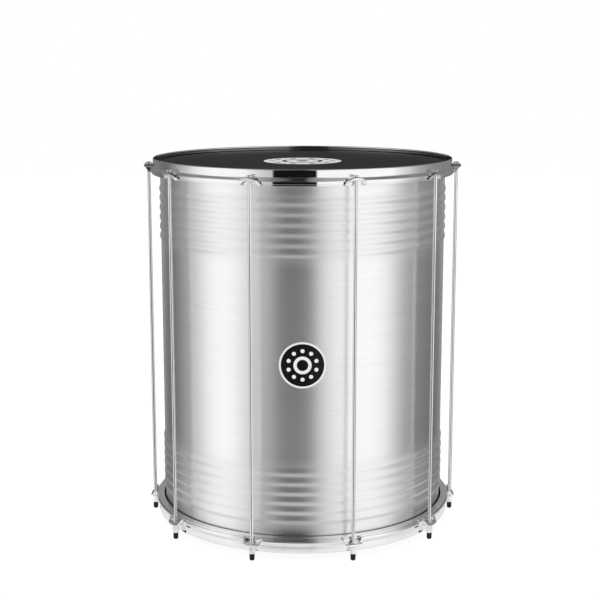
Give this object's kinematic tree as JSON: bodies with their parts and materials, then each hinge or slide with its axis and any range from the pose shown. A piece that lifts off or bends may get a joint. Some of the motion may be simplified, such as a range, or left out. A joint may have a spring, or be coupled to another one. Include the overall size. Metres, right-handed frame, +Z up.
{
  "type": "surdo",
  "caption": "Deep bass drum with a beaded metal shell, a black skin at each end and full-length tension rods with claws, tuning nuts and rubber feet.",
  "frame": {"origin": "on the floor under the drum's axis, at the bottoms of the rubber caps", "axes": "+Z up along the drum's axis, -Y towards the badge, +X to the right of someone who faces the badge"},
  "size_m": [0.5662, 0.546, 0.6582],
  "materials": {
    "shell_aluminium": "brushed round the girth, satin",
    "flesh_hoop_aluminium": "mill finish",
    "hoop_chrome": "polished chrome on steel",
    "rod_chrome": "polished chrome on steel",
    "claw_chrome": "chromed casting, slightly soft edges",
    "nut_chrome": "polished chrome on steel",
    "head_skin": "black laminated skin with a fine matte grain",
    "cap_rubber": "moulded black rubber",
    "badge_enamel": "gloss black with a bright edge"
  },
  "bodies": {
    "drum": {"shell": "shell_aluminium", "badge": "badge_enamel", "batter_head": "head_skin", "resonant_head": "head_skin", "batter_flesh_hoop": "flesh_hoop_aluminium", "resonant_flesh_hoop": "flesh_hoop_aluminium", "batter_hoop": "hoop_chrome", "resonant_hoop": "hoop_chrome", "tension_rod_01": "rod_chrome", "tension_rod_02": "rod_chrome", "tension_rod_03": "rod_chrome", "tension_rod_04": "rod_chrome", "tension_rod_05": "rod_chrome", "tension_rod_06": "rod_chrome", "tension_rod_07": "rod_chrome", "tension_rod_08": "rod_chrome", "tension_rod_09": "rod_chrome", "tension_rod_10": "rod_chrome", "upper_claw_01": "claw_chrome", "upper_claw_02": "claw_chrome", "upper_claw_03": "claw_chrome", "upper_claw_04": "claw_chrome", "upper_claw_05": "claw_chrome", "upper_claw_06": "claw_chrome", "upper_claw_07": "claw_chrome", "upper_claw_08": "claw_chrome", "upper_claw_09": "claw_chrome", "upper_claw_10": "claw_chrome", "lower_claw_01": "claw_chrome", "lower_claw_02": "claw_chrome", "lower_claw_03": "claw_chrome", "lower_claw_04": "claw_chrome", "lower_claw_05": "claw_chrome", "lower_claw_06": "claw_chrome", "lower_claw_07": "claw_chrome", "lower_claw_08": "claw_chrome", "lower_claw_09": "claw_chrome", "lower_claw_10": "claw_chrome", "foot_cap_01": "cap_rubber", "foot_cap_02": "cap_rubber", "foot_cap_03": "cap_rubber", "foot_cap_04": "cap_rubber", "foot_cap_05": "cap_rubber", "foot_cap_06": "cap_rubber", "foot_cap_07": "cap_rubber", "foot_cap_08": "cap_rubber", "foot_cap_09": "cap_rubber", "foot_cap_10": "cap_rubber"},
    "nut_01": {"tuning_nut_01": "nut_chrome"},
    "nut_02": {"tuning_nut_02": "nut_chrome"},
    "nut_03": {"tuning_nut_03": "nut_chrome"},
    "nut_04": {"tuning_nut_04": "nut_chrome"},
    "nut_05": {"tuning_nut_05": "nut_chrome"},
    "nut_06": {"tuning_nut_06": "nut_chrome"},
    "nut_07": {"tuning_nut_07": "nut_chrome"},
    "nut_08": {"tuning_nut_08": "nut_chrome"},
    "nut_09": {"tuning_nut_09": "nut_chrome"},
    "nut_10": {"tuning_nut_10": "nut_chrome"}
  },
  "joints": [
    {"name": "nut_turn_01", "type": "hinge", "parent": "drum", "child": "nut_01", "pos_m": [0.0851, -0.26192, 0.0176], "axis": [0, 0, 1], "continuous": true},
    {"name": "nut_turn_02", "type": "hinge", "parent": "drum", "child": "nut_02", "pos_m": [0.2228, -0.16188, 0.0176], "axis": [0, 0, 1], "continuous": true},
    {"name": "nut_turn_03", "type": "hinge", "parent": "drum", "child": "nut_03", "pos_m": [0.2754, 0, 0.0176], "axis": [0, 0, 1], "continuous": true},
    {"name": "nut_turn_04", "type": "hinge", "parent": "drum", "child": "nut_04", "pos_m": [0.2228, 0.16188, 0.0176], "axis": [0, 0, 1], "continuous": true},
    {"name": "nut_turn_05", "type": "hinge", "parent": "drum", "child": "nut_05", "pos_m": [0.0851, 0.26192, 0.0176], "axis": [0, 0, 1], "continuous": true},
    {"name": "nut_turn_06", "type": "hinge", "parent": "drum", "child": "nut_06", "pos_m": [-0.0851, 0.26192, 0.0176], "axis": [0, 0, 1], "continuous": true},
    {"name": "nut_turn_07", "type": "hinge", "parent": "drum", "child": "nut_07", "pos_m": [-0.2228, 0.16188, 0.0176], "axis": [0, 0, 1], "continuous": true},
    {"name": "nut_turn_08", "type": "hinge", "parent": "drum", "child": "nut_08", "pos_m": [-0.2754, 0, 0.0176], "axis": [0, 0, 1], "continuous": true},
    {"name": "nut_turn_09", "type": "hinge", "parent": "drum", "child": "nut_09", "pos_m": [-0.2228, -0.16188, 0.0176], "axis": [0, 0, 1], "continuous": true},
    {"name": "nut_turn_10", "type": "hinge", "parent": "drum", "child": "nut_10", "pos_m": [-0.0851, -0.26192, 0.0176], "axis": [0, 0, 1], "continuous": true}
  ]
}
